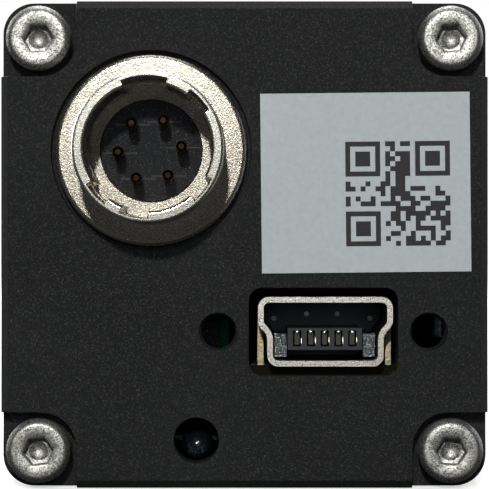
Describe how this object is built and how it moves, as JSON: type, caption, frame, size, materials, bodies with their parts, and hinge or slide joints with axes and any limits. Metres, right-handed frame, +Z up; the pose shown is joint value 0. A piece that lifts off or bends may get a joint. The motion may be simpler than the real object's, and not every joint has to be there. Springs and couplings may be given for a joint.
{
  "type": "machine vision camera",
  "caption": "Compact black square-bodied machine vision camera with a lens mount in front and a screwed rear cover holding a round connector, a small data port and a pale label.",
  "frame": {"origin": "centre of the lens mount's flange face, on the optical axis", "axes": "+Y out of the lens mount along the optical axis, +Z up, +X to the right as seen from behind; the camera rests on its -Z face"},
  "size_m": [0.028, 0.0452, 0.028],
  "materials": {
    "black_anodised": "bead-blasted, black anodised",
    "stainless": "stainless steel, as forged and tumbled",
    "satin_nickel": "satin nickel plate over brass",
    "tinned_steel": "tinned sheet steel",
    "black_moulding": "moulded, matt",
    "gold_contact": "gold-plated, bright",
    "board_green": "green solder mask on glass-epoxy board",
    "chip_black": "moulded epoxy, matt",
    "metal_can": "plated lid",
    "ceramic_tray": "dark fired ceramic, matt",
    "sensor_silicon": "polished silicon, smooth",
    "clear_glass": "clear, coated",
    "filter_glass": "pale blue-green, coated",
    "clear_epoxy": "water-clear epoxy",
    "label_film": "pale grey film, matt"
  },
  "bodies": {
    "root": {"main_housing": "black_anodised", "rear_cover": "black_anodised", "rear_screw_1": "stainless", "rear_screw_2": "stainless", "rear_screw_3": "stainless", "rear_screw_4": "stainless", "io_shell": "satin_nickel", "io_insulator": "black_moulding", "io_washer": "satin_nickel", "io_nut": "satin_nickel", "io_pin_1": "gold_contact", "io_pin_2": "gold_contact", "io_pin_3": "gold_contact", "io_pin_4": "gold_contact", "io_pin_5": "gold_contact", "io_pin_6": "gold_contact", "usb_shell": "tinned_steel", "usb_insulator": "black_moulding", "usb_contact_1": "gold_contact", "usb_contact_2": "gold_contact", "usb_contact_3": "gold_contact", "usb_contact_4": "gold_contact", "usb_contact_5": "gold_contact", "usb_side_spring_1": "tinned_steel", "usb_side_spring_2": "tinned_steel", "status_led": "clear_epoxy", "led_lead_1": "tinned_steel", "led_lead_2": "tinned_steel", "label": "label_film", "main_board": "board_green", "board_plug": "black_moulding", "board_socket": "black_moulding", "io_board": "board_green", "io_header": "black_moulding", "processor_chip": "chip_black", "memory_chip": "chip_black", "crystal_oscillator": "metal_can", "sensor_board": "board_green", "sensor_package": "ceramic_tray", "sensor_die": "sensor_silicon", "sensor_glass": "clear_glass", "sensor_board_screw_1": "stainless", "sensor_board_screw_2": "stainless", "sensor_board_screw_3": "stainless", "sensor_board_screw_4": "stainless", "ir_filter": "filter_glass", "filter_retainer": "black_anodised"}
  },
  "joints": []
}
